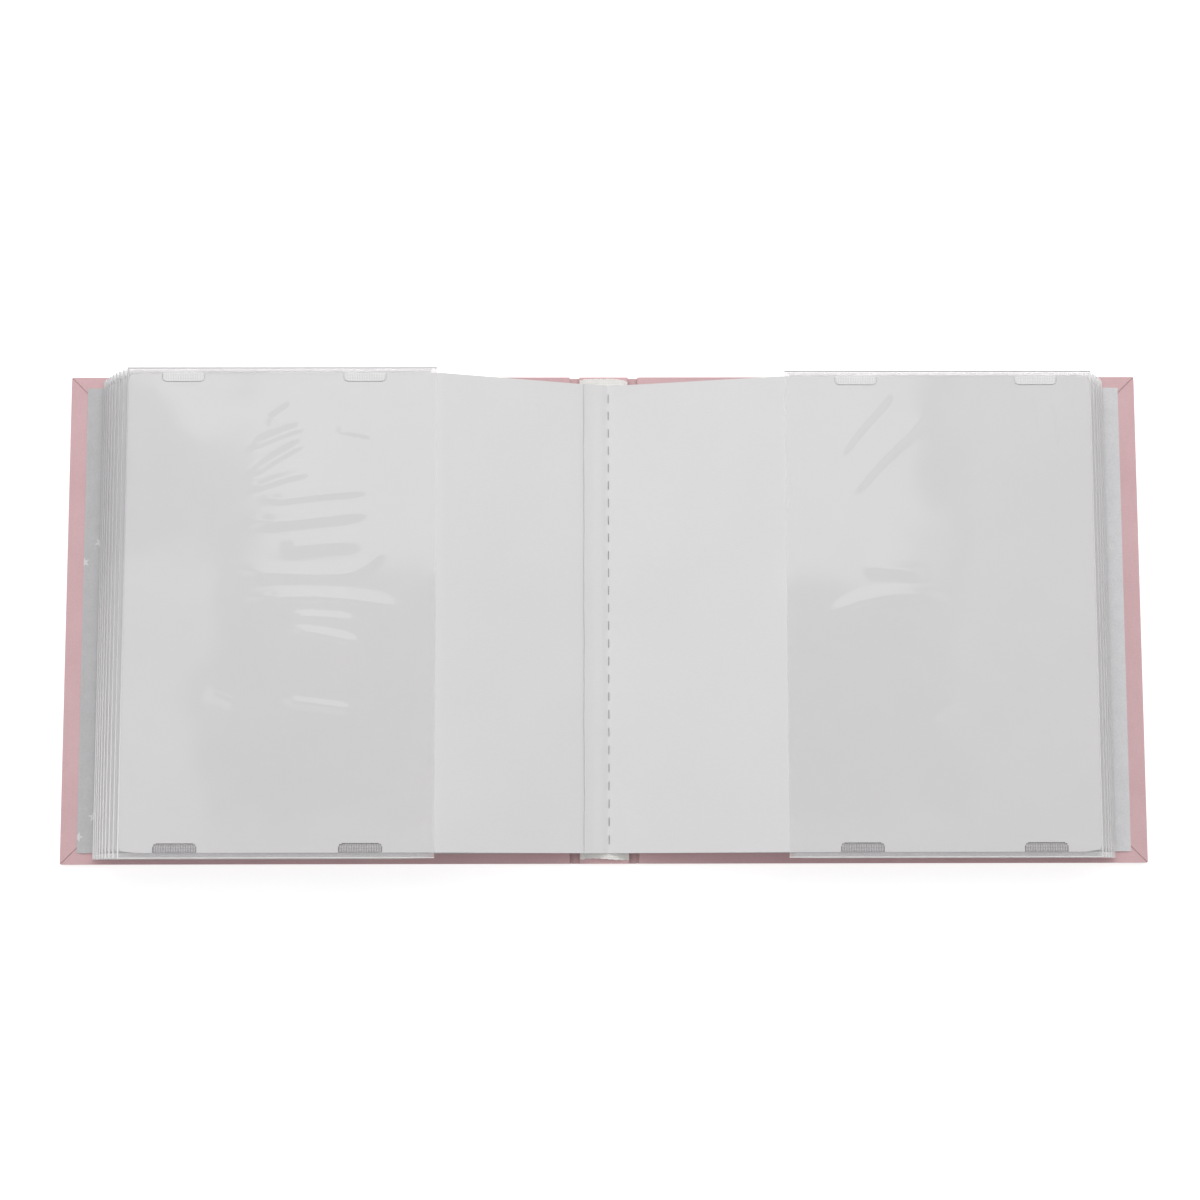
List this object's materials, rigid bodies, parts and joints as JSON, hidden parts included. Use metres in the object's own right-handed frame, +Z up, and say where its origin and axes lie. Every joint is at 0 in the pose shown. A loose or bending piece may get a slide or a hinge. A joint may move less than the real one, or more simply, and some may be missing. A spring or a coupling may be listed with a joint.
{
  "type": "baby photo album",
  "caption": "Small pocket-page photo album lying open: cloth-paper covers, creased card leaves with clear film pockets and a bare writing strip, sewn spine.",
  "frame": {"origin": "middle of the spine's underside, on the surface that the open album lies on", "axes": "+X towards the right-hand page, +Y towards the head of the pages, +Z up out of the open pages"},
  "size_m": [0.364, 0.1658, 0.026],
  "materials": {
    "board": "matt greyboard",
    "covering": "matt pink book cloth paper",
    "endpaper": "matt grey with small plain stars",
    "card": "matt white card",
    "film": "clear, faintly wrinkled film",
    "lining": "white open-weave spine lining",
    "thread": "white sewing thread"
  },
  "bodies": {
    "spine": {"spine_board": "board", "spine_wrap": "covering", "spine_lining": "lining", "sewing_thread": "thread"},
    "front_cover": {"front_cover_board": "board", "front_cover_wrap": "covering", "front_pastedown": "endpaper", "front_flyleaf": "endpaper"},
    "back_cover": {"back_cover_board": "board", "back_cover_wrap": "covering", "back_pastedown": "endpaper", "back_flyleaf": "endpaper"},
    "leaf_01_strip": {"leaf_01_strip_card": "card"},
    "leaf_01_pocket": {"leaf_01_pocket_card": "card", "leaf_01_film_sleeve": "film"},
    "leaf_02_strip": {"leaf_02_strip_card": "card"},
    "leaf_02_pocket": {"leaf_02_pocket_card": "card", "leaf_02_film_sleeve": "film"},
    "leaf_03_strip": {"leaf_03_strip_card": "card"},
    "leaf_03_pocket": {"leaf_03_pocket_card": "card", "leaf_03_film_sleeve": "film"},
    "leaf_04_strip": {"leaf_04_strip_card": "card"},
    "leaf_04_pocket": {"leaf_04_pocket_card": "card", "leaf_04_film_sleeve": "film"},
    "leaf_05_strip": {"leaf_05_strip_card": "card"},
    "leaf_05_pocket": {"leaf_05_pocket_card": "card", "leaf_05_film_sleeve": "film"},
    "leaf_06_strip": {"leaf_06_strip_card": "card"},
    "leaf_06_pocket": {"leaf_06_pocket_card": "card", "leaf_06_film_sleeve": "film"},
    "leaf_07_strip": {"leaf_07_strip_card": "card"},
    "leaf_07_pocket": {"leaf_07_pocket_card": "card", "leaf_07_film_sleeve": "film"},
    "leaf_08_strip": {"leaf_08_strip_card": "card"},
    "leaf_08_pocket": {"leaf_08_pocket_card": "card", "leaf_08_film_sleeve": "film"},
    "leaf_09_strip": {"leaf_09_strip_card": "card", "centre_fold_stub": "card"},
    "leaf_09_pocket": {"leaf_09_pocket_card": "card", "leaf_09_film_sleeve": "film"},
    "leaf_10_strip": {"leaf_10_strip_card": "card"},
    "leaf_10_pocket": {"leaf_10_pocket_card": "card", "leaf_10_film_sleeve": "film"},
    "leaf_11_strip": {"leaf_11_strip_card": "card"},
    "leaf_11_pocket": {"leaf_11_pocket_card": "card", "leaf_11_film_sleeve": "film"},
    "leaf_12_strip": {"leaf_12_strip_card": "card"},
    "leaf_12_pocket": {"leaf_12_pocket_card": "card", "leaf_12_film_sleeve": "film"},
    "leaf_13_strip": {"leaf_13_strip_card": "card"},
    "leaf_13_pocket": {"leaf_13_pocket_card": "card", "leaf_13_film_sleeve": "film"},
    "leaf_14_strip": {"leaf_14_strip_card": "card"},
    "leaf_14_pocket": {"leaf_14_pocket_card": "card", "leaf_14_film_sleeve": "film"},
    "leaf_15_strip": {"leaf_15_strip_card": "card"},
    "leaf_15_pocket": {"leaf_15_pocket_card": "card", "leaf_15_film_sleeve": "film"}
  },
  "joints": [
    {"name": "front_cover_hinge", "type": "hinge", "parent": "spine", "child": "front_cover", "pos_m": [-0.01105, 0, 0.00015], "axis": [0, 1, 0], "range_deg": [0, 90]},
    {"name": "back_cover_hinge", "type": "hinge", "parent": "spine", "child": "back_cover", "pos_m": [0.01105, 0, 0.00015], "axis": [0, -1, 0], "range_deg": [0, 90]},
    {"name": "leaf_01_sewn_edge", "type": "hinge", "parent": "spine", "child": "leaf_01_strip", "pos_m": [-0.0074, 0, 0.00305], "axis": [0, 1, 0], "range_deg": [0, 89.09]},
    {"name": "leaf_01_crease", "type": "hinge", "parent": "leaf_01_strip", "child": "leaf_01_pocket", "pos_m": [-0.06739, 0, 0.004], "axis": [0, 1, 0], "range_deg": [0, 0.90822]},
    {"name": "leaf_02_sewn_edge", "type": "hinge", "parent": "spine", "child": "leaf_02_strip", "pos_m": [-0.00635, 0, 0.00337], "axis": [0, 1, 0], "range_deg": [0, 86.81]},
    {"name": "leaf_02_crease", "type": "hinge", "parent": "leaf_02_strip", "child": "leaf_02_pocket", "pos_m": [-0.06626, 0, 0.0067], "axis": [0, 1, 0], "range_deg": [0, 3.19]},
    {"name": "leaf_03_sewn_edge", "type": "hinge", "parent": "spine", "child": "leaf_03_strip", "pos_m": [-0.00531, 0, 0.00363], "axis": [0, 1, 0], "range_deg": [0, 84.49]},
    {"name": "leaf_03_crease", "type": "hinge", "parent": "leaf_03_strip", "child": "leaf_03_pocket", "pos_m": [-0.06503, 0, 0.0094], "axis": [0, 1, 0], "range_deg": [0, 5.52]},
    {"name": "leaf_04_sewn_edge", "type": "hinge", "parent": "spine", "child": "leaf_04_strip", "pos_m": [-0.00426, 0, 0.00385], "axis": [0, 1, 0], "range_deg": [0, 82.1]},
    {"name": "leaf_04_crease", "type": "hinge", "parent": "leaf_04_strip", "child": "leaf_04_pocket", "pos_m": [-0.06369, 0, 0.0121], "axis": [0, 1, 0], "range_deg": [0, 7.9]},
    {"name": "leaf_05_sewn_edge", "type": "hinge", "parent": "spine", "child": "leaf_05_strip", "pos_m": [-0.00322, 0, 0.00402], "axis": [0, 1, 0], "range_deg": [0, 79.65]},
    {"name": "leaf_05_crease", "type": "hinge", "parent": "leaf_05_strip", "child": "leaf_05_pocket", "pos_m": [-0.06224, 0, 0.0148], "axis": [0, 1, 0], "range_deg": [0, 10.35]},
    {"name": "leaf_06_sewn_edge", "type": "hinge", "parent": "spine", "child": "leaf_06_strip", "pos_m": [-0.00217, 0, 0.00415], "axis": [0, 1, 0], "range_deg": [0, 77.14]},
    {"name": "leaf_06_crease", "type": "hinge", "parent": "leaf_06_strip", "child": "leaf_06_pocket", "pos_m": [-0.06066, 0, 0.0175], "axis": [0, 1, 0], "range_deg": [0, 12.86]},
    {"name": "leaf_07_sewn_edge", "type": "hinge", "parent": "spine", "child": "leaf_07_strip", "pos_m": [-0.00112, 0, 0.00422], "axis": [0, 1, 0], "range_deg": [0, 74.56]},
    {"name": "leaf_07_crease", "type": "hinge", "parent": "leaf_07_strip", "child": "leaf_07_pocket", "pos_m": [-0.05896, 0, 0.0202], "axis": [0, 1, 0], "range_deg": [0, 15.44]},
    {"name": "leaf_08_sewn_edge", "type": "hinge", "parent": "spine", "child": "leaf_08_strip", "pos_m": [-0.00008, 0, 0.00425], "axis": [0, 1, 0], "range_deg": [0, 71.89]},
    {"name": "leaf_08_crease", "type": "hinge", "parent": "leaf_08_strip", "child": "leaf_08_pocket", "pos_m": [-0.0571, 0, 0.0229], "axis": [0, 1, 0], "range_deg": [0, 18.11]},
    {"name": "leaf_09_sewn_edge", "type": "hinge", "parent": "spine", "child": "leaf_09_strip", "pos_m": [0.00097, 0, 0.00423], "axis": [0, 1, 0], "range_deg": [0, 69.14]},
    {"name": "leaf_09_crease", "type": "hinge", "parent": "leaf_09_strip", "child": "leaf_09_pocket", "pos_m": [-0.0551, 0, 0.0256], "axis": [0, 1, 0], "range_deg": [0, 20.87]},
    {"name": "leaf_10_sewn_edge", "type": "hinge", "parent": "spine", "child": "leaf_10_strip", "pos_m": [0.00217, 0, 0.00415], "axis": [0, -1, 0], "range_deg": [0, 75.08]},
    {"name": "leaf_10_crease", "type": "hinge", "parent": "leaf_10_strip", "child": "leaf_10_pocket", "pos_m": [0.06015, 0, 0.0196], "axis": [0, -1, 0], "range_deg": [0, 14.93]},
    {"name": "leaf_11_sewn_edge", "type": "hinge", "parent": "spine", "child": "leaf_11_strip", "pos_m": [0.00322, 0, 0.00402], "axis": [0, -1, 0], "range_deg": [0, 78.02]},
    {"name": "leaf_11_crease", "type": "hinge", "parent": "leaf_11_strip", "child": "leaf_11_pocket", "pos_m": [0.06191, 0, 0.01648], "axis": [0, -1, 0], "range_deg": [0, 11.98]},
    {"name": "leaf_12_sewn_edge", "type": "hinge", "parent": "spine", "child": "leaf_12_strip", "pos_m": [0.00426, 0, 0.00385], "axis": [0, -1, 0], "range_deg": [0, 80.88]},
    {"name": "leaf_12_crease", "type": "hinge", "parent": "leaf_12_strip", "child": "leaf_12_pocket", "pos_m": [0.0635, 0, 0.01336], "axis": [0, -1, 0], "range_deg": [0, 9.12]},
    {"name": "leaf_13_sewn_edge", "type": "hinge", "parent": "spine", "child": "leaf_13_strip", "pos_m": [0.00531, 0, 0.00363], "axis": [0, -1, 0], "range_deg": [0, 83.68]},
    {"name": "leaf_13_crease", "type": "hinge", "parent": "leaf_13_strip", "child": "leaf_13_pocket", "pos_m": [0.06494, 0, 0.01024], "axis": [0, -1, 0], "range_deg": [0, 6.32]},
    {"name": "leaf_14_sewn_edge", "type": "hinge", "parent": "spine", "child": "leaf_14_strip", "pos_m": [0.00635, 0, 0.00337], "axis": [0, -1, 0], "range_deg": [0, 86.41]},
    {"name": "leaf_14_crease", "type": "hinge", "parent": "leaf_14_strip", "child": "leaf_14_pocket", "pos_m": [0.06624, 0, 0.00712], "axis": [0, -1, 0], "range_deg": [0, 3.59]},
    {"name": "leaf_15_sewn_edge", "type": "hinge", "parent": "spine", "child": "leaf_15_strip", "pos_m": [0.0074, 0, 0.00305], "axis": [0, -1, 0], "range_deg": [0, 89.09]},
    {"name": "leaf_15_crease", "type": "hinge", "parent": "leaf_15_strip", "child": "leaf_15_pocket", "pos_m": [0.06739, 0, 0.004], "axis": [0, -1, 0], "range_deg": [0, 0.90822]}
  ],
  "couplings": [
    {"joint": "leaf_01_sewn_edge", "follows": "front_cover_hinge", "ratio": 0.98992},
    {"joint": "leaf_01_crease", "follows": "front_cover_hinge", "ratio": 0.01008},
    {"joint": "leaf_02_sewn_edge", "follows": "front_cover_hinge", "ratio": 0.9646},
    {"joint": "leaf_02_crease", "follows": "front_cover_hinge", "ratio": 0.0354},
    {"joint": "leaf_03_sewn_edge", "follows": "front_cover_hinge", "ratio": 0.93871},
    {"joint": "leaf_03_crease", "follows": "front_cover_hinge", "ratio": 0.061288},
    {"joint": "leaf_04_sewn_edge", "follows": "front_cover_hinge", "ratio": 0.91221},
    {"joint": "leaf_04_crease", "follows": "front_cover_hinge", "ratio": 0.087792},
    {"joint": "leaf_05_sewn_edge", "follows": "front_cover_hinge", "ratio": 0.88503},
    {"joint": "leaf_05_crease", "follows": "front_cover_hinge", "ratio": 0.11497},
    {"joint": "leaf_06_sewn_edge", "follows": "front_cover_hinge", "ratio": 0.85712},
    {"joint": "leaf_06_crease", "follows": "front_cover_hinge", "ratio": 0.14288},
    {"joint": "leaf_07_sewn_edge", "follows": "front_cover_hinge", "ratio": 0.8284},
    {"joint": "leaf_07_crease", "follows": "front_cover_hinge", "ratio": 0.1716},
    {"joint": "leaf_08_sewn_edge", "follows": "front_cover_hinge", "ratio": 0.79878},
    {"joint": "leaf_08_crease", "follows": "front_cover_hinge", "ratio": 0.20122},
    {"joint": "leaf_09_sewn_edge", "follows": "front_cover_hinge", "ratio": 0.76816},
    {"joint": "leaf_09_crease", "follows": "front_cover_hinge", "ratio": 0.23184},
    {"joint": "leaf_10_sewn_edge", "follows": "back_cover_hinge", "ratio": 0.83417},
    {"joint": "leaf_10_crease", "follows": "back_cover_hinge", "ratio": 0.16583},
    {"joint": "leaf_11_sewn_edge", "follows": "back_cover_hinge", "ratio": 0.86686},
    {"joint": "leaf_11_crease", "follows": "back_cover_hinge", "ratio": 0.13314},
    {"joint": "leaf_12_sewn_edge", "follows": "back_cover_hinge", "ratio": 0.89869},
    {"joint": "leaf_12_crease", "follows": "back_cover_hinge", "ratio": 0.10131},
    {"joint": "leaf_13_sewn_edge", "follows": "back_cover_hinge", "ratio": 0.92975},
    {"joint": "leaf_13_crease", "follows": "back_cover_hinge", "ratio": 0.070249},
    {"joint": "leaf_14_sewn_edge", "follows": "back_cover_hinge", "ratio": 0.96014},
    {"joint": "leaf_14_crease", "follows": "back_cover_hinge", "ratio": 0.039865},
    {"joint": "leaf_15_sewn_edge", "follows": "back_cover_hinge", "ratio": 0.98992},
    {"joint": "leaf_15_crease", "follows": "back_cover_hinge", "ratio": 0.01008}
  ]
}
